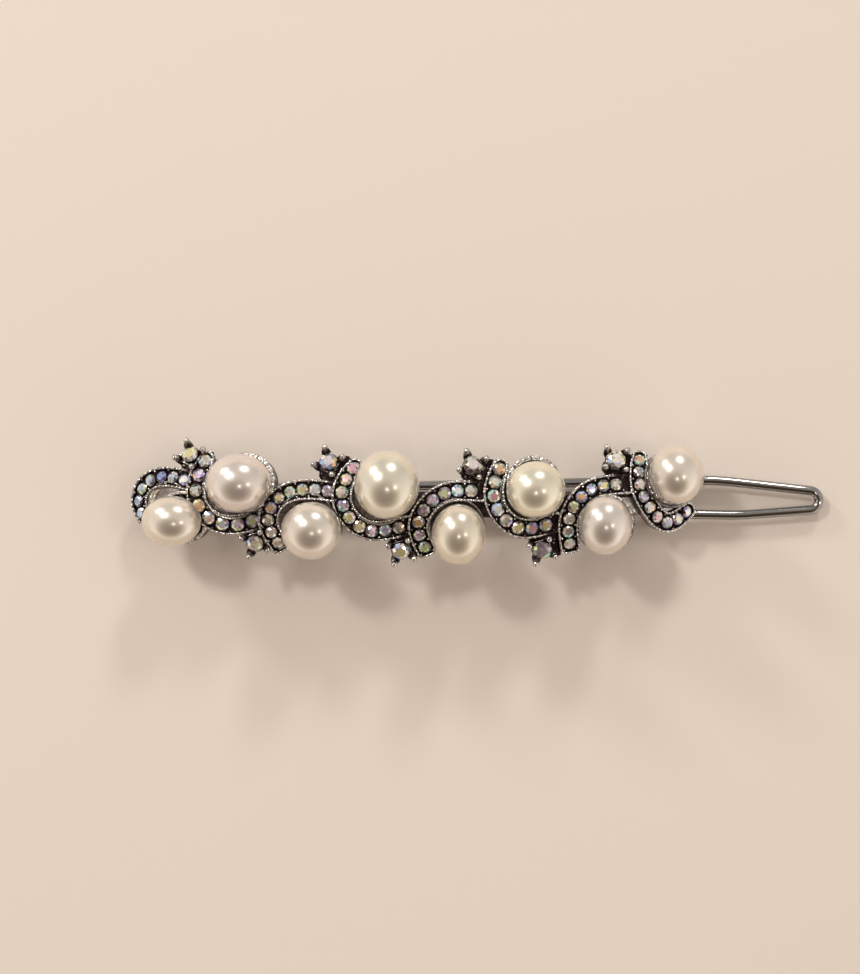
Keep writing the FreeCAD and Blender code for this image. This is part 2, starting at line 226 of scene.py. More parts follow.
class Crescent:
    """The crescent's middle line on the deck, with a frame at each distance along it."""

    def __init__(self, points):
        flat = spline_points(points, 241)
        self.line = deck_point(flat[:, 0], flat[:, 1])
        steps = np.linalg.norm(np.diff(self.line, axis=0), axis=1)
        self.distance = np.concatenate([[0], np.cumsum(steps)])
        self.length = self.distance[-1]
        self.tangents = unit(np.gradient(self.line, self.distance, axis=0))

    def frames(self, s):
        """Points, directions, sideways and upward vectors at the distances s."""
        inside = np.clip(s, 0, self.length)
        point = np.stack([np.interp(inside, self.distance, c) for c in self.line.T], axis=-1)
        along = unit(np.stack([np.interp(inside, self.distance, c) for c in self.tangents.T], axis=-1))
        point = point + along * (s - inside)[..., None]
        up = deck_normal(point[..., 0], point[..., 1])
        side = unit(np.cross(up, along))
        return point, along, side, up

    def place(self, s, w, h):
        point, _, side, up = self.frames(np.asarray(s, dtype=float))
        return point + side * np.asarray(w)[..., None] + up * np.asarray(h)[..., None]


def channel_line(points):
    """The middle line of a channel, drawn on past both ends, as (x, y) points."""
    flat = spline_points(points, 81)
    before = flat[0] + (flat[0] - flat[1]) / np.linalg.norm(flat[0] - flat[1]) * 0.85
    after = flat[-1] + (flat[-1] - flat[-2]) / np.linalg.norm(flat[-1] - flat[-2]) * 0.85
    return np.concatenate([[before], flat, [after]])


def inside_channels(places, lines):
    """Which of the points lie within a channel that crosses them."""
    inside = np.zeros(len(places), dtype=bool)
    for line in lines:
        gaps = np.linalg.norm(places[:, None, :2] - line[None, :, :], axis=2)
        inside |= gaps.min(axis=1) < (CHANNEL_HALF + GROOVE_HALF) / 2 - 0.02
    return inside


CHANNEL_LINES = [channel_line(unit_row[3]) for unit_row in UNITS]


# ---------------------------------------------------------------- mesh building

class Shell:
    """Collects patches of one piece: points, faces and how polished each point is."""

    def __init__(self):
        self.points = []
        self.faces = []
        self.polish = []
        self.count = 0

    def add(self, points, faces, polish):
        points = np.asarray(points, dtype=float).reshape(-1, 3)
        values = np.broadcast_to(np.asarray(polish, dtype=float).reshape(-1), (len(points),))
        self.points.append(points)
        self.polish.append(values)
        self.faces.extend([tuple(int(i) + self.count for i in face) for face in faces])
        self.count += len(points)

    def grid(self, points, polish, loop_rows=False, loop_columns=False):
        """A patch of quads over a rows by columns array of points."""
        rows, columns = points.shape[:2]
        faces = []
        for r in range(rows if loop_rows else rows - 1):
            for c in range(columns if loop_columns else columns - 1):
                r2, c2 = (r + 1) % rows, (c + 1) % columns
                faces.append((r * columns + c, r * columns + c2, r2 * columns + c2, r2 * columns + c))
        self.add(points, faces, np.broadcast_to(polish, (rows, columns)))

    def ball(self, centre, radius, polish=1.0, rings=6, segments=9, squash=1.0):
        """A small bead of metal."""
        phi = np.linspace(0, math.pi, rings)
        theta = np.linspace(0, 2 * math.pi, segments, endpoint=False)
        ring = np.sin(phi)[:, None]
        local = np.stack([ring * np.cos(theta), ring * np.sin(theta),
                          np.repeat(np.cos(phi)[:, None] * squash, segments, axis=1)], axis=-1)
        self.grid(centre + local * radius, polish, loop_columns=True)


def make_object(name, points, faces, body, materials, smooth=True):
    mesh = bpy.data.meshes.new(name)
    shifted = (np.asarray(points) + [0, CENTRE_Y, 0]) * MM
    mesh.from_pydata(shifted.tolist(), [], faces)
    mesh.update()
    for material in materials:
        mesh.materials.append(material)
    mesh.polygons.foreach_set("use_smooth", [smooth] * len(mesh.polygons))
    obj = bpy.data.objects.new(name, mesh)
    bpy.context.scene.collection.objects.link(obj)
    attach(obj, body)
    return obj


def outward_consistent(mesh):
    """Makes every closed patch's normals face outward, with smooth shading."""
    work = bmesh.new()
    work.from_mesh(mesh)
    bmesh.ops.remove_doubles(work, verts=work.verts, dist=1e-7)
    bmesh.ops.recalc_face_normals(work, faces=work.faces)
    work.to_mesh(mesh)
    work.free()
    mesh.polygons.foreach_set("use_smooth", [True] * len(mesh.polygons))


def shell_object(name, shell, material, replaced):
    obj = make_object(name, np.concatenate(shell.points), shell.faces, "barrette",
                      [material])
    polish = obj.data.attributes.new("polish", "FLOAT", "POINT")
    polish.data.foreach_set("value", np.concatenate(shell.polish))
    outward_consistent(obj.data)
    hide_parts(*replaced)
    return obj


def ripple(t, rng, pitch, waves=5):
    """Uneven waves of about the given pitch, between -1 and 1, along distances t."""
    total = np.zeros_like(t)
    for _ in range(waves):
        frequency = 2 * math.pi / (pitch * rng.uniform(0.7, 1.7))
        total += np.sin(t * frequency + rng.uniform(0, 2 * math.pi))
    return total / waves ** 0.5 / 1.4


def rounded_outline(low, high, half_start, half_end, half, squareness):
    """A closed outline in (distance, sideways) whose ends narrow and are rounded."""
    s = np.linspace(low + half_start, high - half_end, 60)
    width = half + (half_start - half) * np.exp(-(s - s[0]) / 0.9)
    width = width + (half_end - half) * np.exp(-(s[-1] - s) / 0.9)
    angle = np.linspace(-math.pi / 2, math.pi / 2, 17)[1:-1]

    def bulge(values, square):
        return np.sign(values) * np.abs(values) ** (2.0 / square)

    end = np.stack([s[-1] + half_end * bulge(np.cos(angle), squareness[1]),
                    half_end * bulge(np.sin(angle), squareness[1])], 1)
    start = np.stack([s[0] - half_start * bulge(np.cos(angle), squareness[0]),
                      -half_start * bulge(np.sin(angle), squareness[0])], 1)
    path = np.concatenate([np.stack([s, -width], 1), end, np.stack([s[::-1], width[::-1]], 1), start])
    return even_loop(path, 0.08)


def even_loop(path, step):
    """The closed path resampled evenly, with its outward normals and distances."""
    closed = np.concatenate([path, path[:1]])
    run = np.concatenate([[0], np.cumsum(np.linalg.norm(np.diff(closed, axis=0), axis=1))])
    count = max(12, int(run[-1] / step))
    t = np.linspace(0, run[-1], count, endpoint=False)
    loop = np.stack([np.interp(t, run, closed[:, 0]), np.interp(t, run, closed[:, 1])], axis=1)
    for _ in range(2):
        loop = (np.roll(loop, 1, 0) + 2 * loop + np.roll(loop, -1, 0)) / 4
    ahead = np.roll(loop, -1, 0) - np.roll(loop, 1, 0)
    normal = unit(np.stack([ahead[:, 1], -ahead[:, 0]], axis=1))
    return loop, normal, t


# Cross-section of a rim wall: sideways from its middle, height above the deck, polish
def rim_profile(thickness, top, foot_out, foot_in):
    half = thickness / 2
    return [
        (half * 1.1, foot_out, 0.28), (half * 1.1, foot_out * 0.45 + top * 0.55 - 0.3, 0.52),
        (half, top - 0.16, 0.80), (half * 0.8, top - 0.05, 1.0), (half * 0.35, top, 1.0),
        (-half * 0.35, top, 1.0), (-half * 0.8, top - 0.05, 1.0), (-half, top - 0.16, 0.7),
        (-half * 1.05, top - 0.36, 0.25), (-half * 1.05, foot_in, 0.03),
    ]


def rim_wall(shell, place, outline, profile, rng, crossing, roughness=1.0, pitch=0.6, worn=None):
    """A thin wall along a closed outline, with an uneven hammered rim.

    Where another channel crosses it, the wall stays below that channel's floor. Where worn
    is 1 instead of 0, the rim is lower and dark.
    """
    loop, normal, t = outline
    worn = np.zeros(len(loop)) if worn is None else worn
    level = place(loop[:, 0], loop[:, 1], np.zeros(len(loop)))
    sunk = inside_channels(level, crossing)
    wave = ripple(t, rng, pitch)
    swell = ripple(t, rng, pitch * 1.3)
    rows = []
    values = []
    top = max(h for _, h, _ in profile)
    for offset, height, polish in profile:
        near_top = max(0.0, 1.0 - (top - height) / 0.25)
        d = offset + roughness * near_top * 0.045 * swell * np.sign(offset)
        h = height + roughness * near_top * (0.05 * wave - 0.03) - 0.3 * near_top * worn
        h = np.where(sunk, np.minimum(h, SUNK_RIM), h)
        at = loop + normal * d[:, None]
        rows.append(place(at[:, 0], at[:, 1], h))
        values.append(np.clip((polish - 0.12 + 0.42 * near_top * wave) * (1 - 0.8 * worn), 0, 1))
    shell.grid(np.array(rows), np.array(values), loop_columns=True)


# ---------------------------------------------------------------- casting

def worn_end(number, crescent, loop):
    """How worn each outline point is: fully past the last stone, on the claw setting's side."""
    if number == len(UNITS):
        return np.zeros(len(loop))
    claw_side = 1 if number % 2 else -1
    past_stones = np.clip((loop[:, 0] - crescent.length + 0.5) / 0.8, 0, 1)
    near_claws = np.clip(loop[:, 1] * claw_side / 0.6 + 0.3, 0, 1)
    return past_stones * near_claws


def channel_rim(shell, number, crescent, tuck, rng):
    """The hammered rim around a channel; the first crescent's is duller."""
    middle = (CHANNEL_HALF + GROOVE_HALF) / 2
    start_shape = (1.0, 5.0) if number in SQUARE_STARTS else (0.72, 2.2)
    end_shape = (0.8, 2.4) if number == len(UNITS) else (1.0, 4.0)
    outline = rounded_outline(-CHANNEL_OVERRUN, crescent.length + tuck,
                              middle * start_shape[0], middle * end_shape[0], middle,
                              (start_shape[1], end_shape[1]))
    shine = 0.78 if number == 1 else 1.0
    profile = [(offset, height, polish * shine) for offset, height, polish
               in rim_profile(CHANNEL_HALF - GROOVE_HALF, RIM_ABOVE, -CHANNEL_DEPTH, -0.62)]
    rim_wall(shell, crescent.place, outline, profile, rng, CHANNEL_LINES[number:number + 1],
             roughness=1.2, pitch=0.42, worn=worn_end(number, crescent, outline[0]))


def channel_floor(shell, crescent, tuck, rng):
    """The uneven floor between the stones, and the flat underside."""
    s = np.linspace(-CHANNEL_OVERRUN + 0.3, crescent.length + tuck - 0.3, 90)
    w = np.linspace(-1, 1, 9)
    along, across = np.meshgrid(s, w, indexing="ij")
    bumps = 0.05 * ripple(along.ravel() * 3 + across.ravel() * 7, rng, 1.3).reshape(along.shape)
    floor = crescent.place(along, across * GROOVE_HALF, GROOVE_FLOOR + bumps + 0.1 * across ** 2)
    shell.grid(floor, 0.05)
    under = crescent.place(along, across * CHANNEL_HALF, np.full_like(along, -CHANNEL_DEPTH))
    shell.grid(under, 0.3)


def channel_beads(shell, crescent, stones, rng):
    """Small cast beads on both sides of every gap between stones."""
    spacing = crescent.length / (stones - 1)
    for gap in range(stones + 1):
        for side in (-1, 1):
            at = spacing * (gap - 0.5) + rng.uniform(-0.1, 0.1)
            radius = rng.uniform(0.11, 0.17)
            centre = crescent.place(np.array([at]), np.array([side * rng.uniform(0.78, 0.86)]),
                                    np.array([0.0]))[0]
            shell.ball(centre, radius, rng.uniform(0.45, 1.0))


def crescent_shell(number, stones, points):
    rng = random.Random(100 + number)
    crescent = Crescent(points)
    tuck = CHANNEL_OVERRUN if number == len(UNITS) else CHANNEL_TUCK
    shell = Shell()
    channel_rim(shell, number, crescent, tuck, rng)
    channel_floor(shell, crescent, tuck, rng)
    channel_beads(shell, crescent, stones, rng)
    return shell


def cup_shell(number, cup):
    """A pearl's cup: a hammered ring with a floor and an underside."""
    rng = random.Random(200 + number)
    shell = Shell()
    seat = Seat(*cup[:2])

    def place(u, v, h):
        return seat.place(np.stack([u, v, h], axis=-1))

    radius = cup[2] - 0.2
    angle = np.linspace(0, 2 * math.pi, 90, endpoint=False)
    outline = even_loop(np.stack([radius * np.cos(angle), radius * np.sin(angle)], 1), 0.09)
    wall = STOUT_CUP_WALL if number in STOUT_CUPS else CUP_WALL
    profile = rim_profile(wall, CUP_ABOVE, -CUP_BELOW, CUP_FLOOR)
    rim_wall(shell, place, outline, profile, rng, CHANNEL_LINES[max(0, number - 2):number + 1],
             roughness=1.8, pitch=0.7)

    for level, polish in [(CUP_FLOOR, 0.1), (-CUP_BELOW, 0.3)]:
        rings = [place(r * np.cos(angle), r * np.sin(angle), np.full_like(angle, level))
                 for r in np.linspace(0, radius, 12)]
        shell.grid(np.array(rings), polish, loop_columns=True)
    return shell


def circle_centre(start, middle, end):
    """The centre of the circle through three points."""
    (ax, ay), (bx, by), (cx, cy) = start, middle, end
    double_area = 2 * (ax * (by - cy) + bx * (cy - ay) + cx * (ay - by))
    a2, b2, c2 = ax * ax + ay * ay, bx * bx + by * by, cx * cx + cy * cy
    x = (a2 * (by - cy) + b2 * (cy - ay) + c2 * (ay - by)) / double_area
    y = (a2 * (cx - bx) + b2 * (ax - cx) + c2 * (bx - ax)) / double_area
    return x, y


def floor_shell(number, points, cup):
    """The sunk plate inside a crescent, between its channel and the pearl's cup."""
    rng = random.Random(300 + number)
    x, y = circle_centre(points[0], points[2], points[4])
    bx, by = points[2]
    full = math.hypot(points[0][0] - x, points[0][1] - y)
    radius = min(full - GROOVE_HALF, cup[2] + FLOOR_PAST_CUP)
    along = (radius + GROOVE_HALF) / full
    seat = Seat(bx + (x - bx) * along, by + (y - by) * along)
    angle = np.linspace(0, 2 * math.pi, 80, endpoint=False)
    shine = 0.5 if number == 1 else 0.0
    shell = Shell()
    rows = []
    values = []
    for r, h, polish in [(0, -0.75, 0.1), (radius * 0.7, -0.75, 0.3), (radius * 0.82, -0.68, 0.5),
                         (radius * 0.92, -0.5, 0.62), (radius, -0.2, 0.7), (radius * 1.02, -0.25, 0.5),
                         (radius, -CHANNEL_DEPTH, 0.25), (0, -CHANNEL_DEPTH, 0.25)]:
        local = np.stack([r * np.cos(angle), r * np.sin(angle), np.full_like(angle, h)], axis=-1)
        rows.append(seat.place(local))
        values.append(np.clip(polish + shine + 0.1 * ripple(angle * 4, rng, 1.0), 0, 1))
    shell.grid(np.array(rows), np.array(values), loop_columns=True)
    return shell


def claw_shell(number, claw):
    """A tapered square box with scalloped walls and four ball-tipped claws."""
    x, y, _, turn = claw
    rng = random.Random(400 + number)
    seat = Seat(x, y, turn - 45)
    shell = Shell()
    angle = np.linspace(0, 2 * math.pi, 80, endpoint=False)
    square = np.stack([np.sign(np.cos(angle)) * np.abs(np.cos(angle)) ** 0.36,
                       np.sign(np.sin(angle)) * np.abs(np.sin(angle)) ** 0.36], axis=1)
    corner = np.abs(np.sin(2 * angle)) ** 2
    square = square * (0.88 + 0.12 * corner)[:, None]
    wave = ripple(angle * 1.5, rng, 0.7)
    rows = []
    values = []
    for half, level, polish, near_top in [
            (BOX_HALF_FOOT, -BOX_BELOW, 0.2, 0), (BOX_HALF_FOOT * 1.15, -1.2, 0.25, 0),
            (BOX_HALF_TOP * 0.95, -0.4, 0.2, 0), (BOX_HALF_TOP, BOX_ABOVE - 0.14, 0.45, 1),
            (BOX_HALF_TOP * 0.96, BOX_ABOVE - 0.03, 0.8, 1), (BOX_HALF_TOP * 0.88, BOX_ABOVE - 0.06, 0.5, 1),
            (BOX_HALF_TOP * 0.82, BOX_ABOVE - 0.22, 0.12, 1), (BOX_HALF_TOP * 0.7, -0.5, 0.03, 0)]:
        height = level + (0.22 * corner - 0.12 + 0.04 * wave) * near_top
        local = np.stack([square[:, 0] * half, square[:, 1] * half, height * np.ones_like(angle)], 1)
        rows.append(seat.place(local))
        values.append(np.clip(polish + 0.3 * wave * near_top, 0, 1))
    shell.grid(np.array(rows), np.array(values), loop_columns=True)
    radii = np.linspace(0, BOX_HALF_TOP * 0.95, 5)
    floor = [seat.place(np.stack([r * np.cos(angle), r * np.sin(angle), np.full_like(angle, -0.3)], 1))
             for r in radii]
    shell.grid(np.array(floor), 0.03, loop_columns=True)
    foot = [seat.place(np.stack([square[:, 0] * r, square[:, 1] * r, np.full_like(angle, -BOX_BELOW)], 1))
            for r in (0.0, BOX_HALF_FOOT)]
    shell.grid(np.array(foot), 0.3, loop_columns=True)
    for quarter in range(4):
        add_claw(shell, seat, math.radians(45 + 90 * quarter), rng)
    return shell


def add_claw(shell, seat, direction, rng):
    """A horn that leans out from a corner of the box and ends in a bright ball."""
    out = np.array([math.cos(direction), math.sin(direction), 0.0])
    across = np.array([-math.sin(direction), math.cos(direction), 0.0])
    up = np.array([0, 0, 1.0])
    ring = np.linspace(0, 2 * math.pi, 14, endpoint=False)
    rows = []
    values = []
    for reach, height, size, polish in [(1.25, -1.1, 0.38, 0.15), (1.40, -0.45, 0.60, 0.15),
                                        (1.52, 0.0, 0.56, 0.2), (1.70, 0.32, 0.42, 0.35),
                                        (1.80, 0.58, 0.34, 0.7)]:
        centre = out * reach + up * height
        local = centre + np.outer(np.cos(ring) * size * 0.8, out) + np.outer(np.sin(ring) * size, across)
        rows.append(seat.place(local))
        values.append(np.clip(polish + 0.25 * np.sin(ring * 3 + rng.uniform(0, 6)), 0, 1))
    shell.grid(np.array(rows), np.array(values), loop_columns=True)
    tip = seat.place(out * (CLAW_REACH - 0.07) + up * 0.66)
    shell.ball(tip, rng.uniform(0.37, 0.40), 0.8, rings=9, segments=14)
    spur = seat.place(out * (CLAW_REACH - 0.25) + across * rng.choice((-0.26, 0.26)) + up * 0.42)
    shell.ball(spur, rng.uniform(0.15, 0.2), 0.6)


def web_shell(number, claw):
    """The lumpy dark bridge between a claw setting and the base strip, with cast beads."""
    x, y = claw[:2]
    rng = random.Random(500 + number)
    shell = Shell()
    side = 1 if y > 0 else -1
    inner = STRIP_Y + side * (STRIP_HALF - 0.6)
    v = np.linspace(0, 1, 24)
    u = np.linspace(-1, 1, 13)
    along, across = np.meshgrid(v, u, indexing="ij")
    edge = 0.14 * ripple(along.ravel() * 4 + across.ravel() * 3, rng, 1.1).reshape(along.shape)
    xs = x + 0.55 + across * (2.05 - 0.35 * np.sin(along * math.pi)) + edge * across ** 4
    outer = y + side * 1.0 * np.clip(across * 1.6, 0, 1)
    ys = inner + (outer - inner) * along
    lumps = 0.06 * ripple(along.ravel() * 17 + across.ravel() * 5, rng, 1.6).reshape(along.shape)
    height = WEB_TOP + 0.2 * along + lumps - 0.25 * np.abs(across) ** 6
    level = np.stack([xs, ys], axis=-1).reshape(-1, 2)
    sunk = inside_channels(level, CHANNEL_LINES[number - 1:number + 1]).reshape(height.shape)
    height = np.where(sunk, SUNK_RIM, height)
    top = deck_point(xs, ys) + deck_normal(xs, ys) * height[..., None]
    shell.grid(top, 0.06)
    foot = deck_point(xs, ys) + deck_normal(xs, ys) * WEB_FOOT
    shell.grid(foot, 0.25)
    for column in (0, -1):
        shell.grid(np.stack([top[:, column], foot[:, column]], axis=0), 0.2)
    for _ in range(WEB_BEADS):
        a, b = rng.uniform(0.3, 1.0), rng.uniform(-1.0, 1.0)
        bx = np.float64(x + 0.3 + b * 1.6)
        by = np.float64(inner + (y - inner) * a)
        if inside_channels(np.array([[bx, by]]), CHANNEL_LINES[number - 1:number + 1])[0]:
            continue
        centre = deck_point(bx, by) + deck_normal(bx, by) * (-0.50 + 0.2 * a)
        shell.ball(centre, rng.uniform(0.09, 0.18), rng.uniform(0.3, 1.0))
    return shell


def strip_shell():
    """The base strip: a bowed flat plate with softened edges."""
    shell = Shell()
    x = np.linspace(STRIP_LEFT_X, STRIP_RIGHT_X, 160)
    rows = []
    for y, z in [(-1, -1), (-1.0, 0.2), (-0.97, 1.0), (-0.5, 1.0), (0, 1.0), (0.5, 1.0),
                 (0.97, 1.0), (1.0, 0.2), (1, -1), (0.5, -1), (0, -1), (-0.5, -1)]:
        level = (STRIP_TOP + STRIP_BOTTOM) / 2 + z * (STRIP_TOP - STRIP_BOTTOM) / 2
        rows.append(np.stack([x, np.full_like(x, STRIP_Y + y * STRIP_HALF), level - bow(x)], axis=1))
    points = np.array(rows).transpose(1, 0, 2)
    polish = 0.15 + 0.5 * np.clip((x - 16.5) / 1.5, 0, 1)
    shell.grid(points, polish[:, None], loop_columns=True)
    shell.add(points[0], [tuple(range(len(rows)))], 0.3)
    shell.add(points[-1], [tuple(range(len(rows)))[::-1]], 0.3)
    return shell


# ---------------------------------------------------------------- pearls

def pearl_object(number, pearl, material):
    width, breadth = pearl[2:]
    depth = PEARL_FLATNESS * (width + breadth) / 2
    rng = random.Random(600 + number)
    rings, segments = 72, 112
    phi = np.linspace(0, math.pi, rings)[1:-1]
    theta = np.linspace(0, 2 * math.pi, segments, endpoint=False)
    p, q = np.meshgrid(phi, theta, indexing="ij")
    ball = np.stack([np.sin(p) * np.cos(q), np.sin(p) * np.sin(q), np.cos(p)], axis=-1)
    lumps = np.zeros_like(p)
    for _ in range(5):
        direction = unit(np.array([rng.gauss(0, 1) for _ in range(3)]))
        lumps += np.sin(3.0 * (ball @ direction) + rng.uniform(0, 6.3))
    ball = ball * (1 - 0.004 - 0.0022 * lumps[..., None] / 2)
    size = np.array([width / 2, breadth / 2, depth / 2])
    seat = pearl_seat(pearl)
    body = seat.place(ball * size + [0, 0, PEARL_LIFT])
    poles = seat.place(np.array([[0, 0, depth / 2 * 0.995], [0, 0, -depth / 2 * 0.995]])
                       + [0, 0, PEARL_LIFT])
    rows, columns = body.shape[:2]
    faces = []
    for r in range(rows - 1):
        for c in range(columns):
            c2 = (c + 1) % columns
            faces.append((r * columns + c, (r + 1) * columns + c, (r + 1) * columns + c2, r * columns + c2))
    top, bottom = rows * columns, rows * columns + 1
    for c in range(columns):
        c2 = (c + 1) % columns
        faces.append((top, c, c2))
        faces.append((bottom, (rows - 1) * columns + c2, (rows - 1) * columns + c))
    points = np.concatenate([body.reshape(-1, 3), poles])
    obj = make_object("nacre_%d" % number, points, faces, "barrette", [material])
    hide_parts("pearl_%d" % number)
    return obj


# ---------------------------------------------------------------- stones

def ring_points(count, offset, radius, height):
    angle = (np.arange(count) + offset) * 2 * math.pi / count
    return np.stack([radius * np.cos(angle), radius * np.sin(angle), np.full(count, height)], axis=1)


def chaton():
    """Points and facets (zone, corners) of a round brilliant of radius 1."""
    middle = np.array([[0, 0, 0.385]])
    table = ring_points(8, 0, 0.56, 0.38)
    star = ring_points(8, 0.5, 0.80, 0.24)
    girdle = ring_points(16, 0, 1.0, 0.05)
    rim = ring_points(16, 0, 1.0, -0.05)
    waist = ring_points(8, 0.5, 0.50, -0.37)
    culet = np.array([[0, 0, -0.70]])
    points = np.concatenate([middle, table, star, girdle, rim, waist, culet])
    table_at = len(middle)
    star_at = table_at + len(table)
    girdle_at = star_at + len(star)
    rim_at = girdle_at + len(girdle)
    waist_at = rim_at + len(rim)
    culet_at = waist_at + len(waist)
    facets = []
    for k in range(8):
        after, before = (k + 1) % 8, (k - 1) % 8
        first, second, third = 2 * k, 2 * k + 1, (2 * k + 2) % 16
        facets += [
            ("table", (0, table_at + k, table_at + after)),
            ("star", (table_at + k, star_at + k, table_at + after)),
            ("kite", (table_at + k, star_at + before, girdle_at + first, star_at + k)),
            ("edge", (star_at + k, girdle_at + first, girdle_at + second)),
            ("edge", (star_at + k, girdle_at + second, girdle_at + third)),
            ("back", (culet_at, waist_at + k, rim_at + first, waist_at + before)),
            ("back", (waist_at + k, rim_at + second, rim_at + first)),
            ("back", (waist_at + k, rim_at + third, rim_at + second)),
        ]
    for j in range(16):
        after = (j + 1) % 16
        facets.append(("back", (girdle_at + j, rim_at + j, rim_at + after, girdle_at + after)))
    return points, facets


# Body colours of the coated stones, and the painted glints and painted dark reflections that single facets
# take as their colour
STONE_BODIES = [
    (0.54, 0.49, 0.57), (0.50, 0.51, 0.45), (0.60, 0.53, 0.47), (0.39, 0.41, 0.58),
    (0.68, 0.63, 0.54), (0.34, 0.31, 0.36), (0.55, 0.47, 0.63), (0.82, 0.79, 0.76),
]
# Painted reflections: bright and coloured glints, and near-black dark reflections, each given to a single
# facet as its colour.
PAINTED_REFLECTIONS = [
    (0.98, 0.96, 0.93), (0.95, 0.88, 0.48), (0.40, 0.60, 0.95), (0.95, 0.62, 0.32),
    (0.42, 0.88, 0.78), (0.86, 0.48, 0.54), (0.42, 0.32, 0.85), (0.76, 0.90, 0.46),
    (0.05, 0.04, 0.06), (0.10, 0.09, 0.10), (0.18, 0.16, 0.20), (0.98, 0.97, 0.98),
    (0.04, 0.035, 0.04), (0.98, 0.94, 0.80),
]


# A facet's colour: the stone's tint, with painted shade by the girdle, a painted highlight on the table, and
# painted glints or dark reflections on the stars and kites.
def facet_colour(zone, body, picked_painted_reflections, rng):
    if zone == "back":
        return (0.05, 0.045, 0.05)
    if zone == "edge":
        # Painted shade: the facets by the girdle are darker.
        shade = rng.uniform(0.12, 0.55)
        return tuple(c * shade for c in body)
    if zone == "table":
        # Painted highlight: the table takes a bright painted glint, or the tint made lighter.
        if picked_painted_reflections[0][0] > 0.7:
            return tuple(c * rng.uniform(0.75, 1.0) for c in picked_painted_reflections[0])
        shade = rng.uniform(0.85, 1.7)
        return tuple(min(1.0, c * shade) for c in body)
    # The stars and kites take a painted glint or dark reflection, or the tint with painted light or shade at
    # random.
    if rng.random() < 0.55:
        return rng.choice(picked_painted_reflections)
    shade = rng.uniform(0.4, 1.4)
    return tuple(min(1.0, c * shade) for c in body)


def stones_object(name, seats, rng, crystal, node, cast=(1.0, 1.0, 1.0)):
    """A group of stones, each (frame, radius, lift), with its own turn, tilt and colours."""
    base, facets = chaton()
    points = []
    faces = []
    colours = []
    for seat, radius, lift in seats:
        lean = (Matrix.Rotation(rng.uniform(-0.12, 0.12), 3, "X")
                @ Matrix.Rotation(rng.uniform(-0.12, 0.12), 3, "Y")
                @ Matrix.Rotation(rng.uniform(0, 2 * math.pi), 3, "Z"))
        start = len(points) * len(base)
        points.append(seat.place(base @ np.array(lean).T * radius + [0, 0, lift]))
        body = tuple(np.array(rng.choice(STONE_BODIES)) * cast)
        picked_painted_reflections = rng.sample(PAINTED_REFLECTIONS, 5)
        for zone, corners in facets:
            faces.append(tuple(start + i for i in corners))
            colours.append(facet_colour(zone, body, picked_painted_reflections, rng))
    obj = make_object(name, np.concatenate(points), faces, "barrette", [crystal],
                      smooth=False)
    # The facet colours, with their painted glints and shade, go into a colour attribute.
    layer = obj.data.color_attributes.new("tint_and_painted_light", "FLOAT_COLOR", "CORNER")
    for polygon, colour in zip(obj.data.polygons, colours):
        for corner in polygon.loop_indices:
            layer.data[corner].color = (*colour, 1.0)
    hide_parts(node)
    return obj


def crescent_stones(number, count, points, crystal):
    crescent = Crescent(points)
    spacing = crescent.length / (count - 1)
    radius = min(0.86, spacing / 2 - 0.02)
    rng = random.Random(700 + number)
    seats = []
    for i in range(count):
        at = crescent.frames(np.array([spacing * i]))[0][0]
        seats.append((Seat(at[0], at[1]), radius * rng.uniform(0.96, 1.0), 0.0))
    cast = (0.62, 0.74, 1.05) if number == 1 else (1.0, 1.0, 1.0)
    return stones_object("crystals_%d" % number, seats, rng, crystal,
                         "channel_stones_%d" % number, cast)


def claw_stone(number, claw, crystal):
    x, y, radius = claw[:3]
    rng = random.Random(800 + number)
    return stones_object("crystal_in_claws_%d" % number, [(Seat(x, y), radius, 0.24)], rng, crystal,
                         "claw_stone_%d" % number)


# ---------------------------------------------------------------- wire

def rounded_path(corners, radii, step=0.25):
    """Points along straight runs joined by tangent arcs of the given radii."""
    out = [corners[0]]

    def run_to(end):
        start = out[-1]
        count = max(1, int((end - start).length / 1.0))
        for i in range(1, count + 1):
            out.append(start.lerp(end, i / count))

    for before, corner, after, radius in zip(corners, corners[1:], corners[2:], radii):
        towards = (before - corner).normalized()
        onwards = (after - corner).normalized()
        half_angle = towards.angle(onwards) / 2
        setback = radius / math.tan(half_angle)
        centre = corner + (towards + onwards).normalized() * radius / math.sin(half_angle)
        run_to(corner + towards * setback)
        first = (out[-1] - centre).normalized()
        last = (corner + onwards * setback - centre).normalized()
        turn = first.angle(last)
        count = max(6, int(radius * turn / step))
        for i in range(1, count + 1):
            out.append(centre + first.slerp(last, i / count) * radius)
    run_to(corners[-1])
    return out


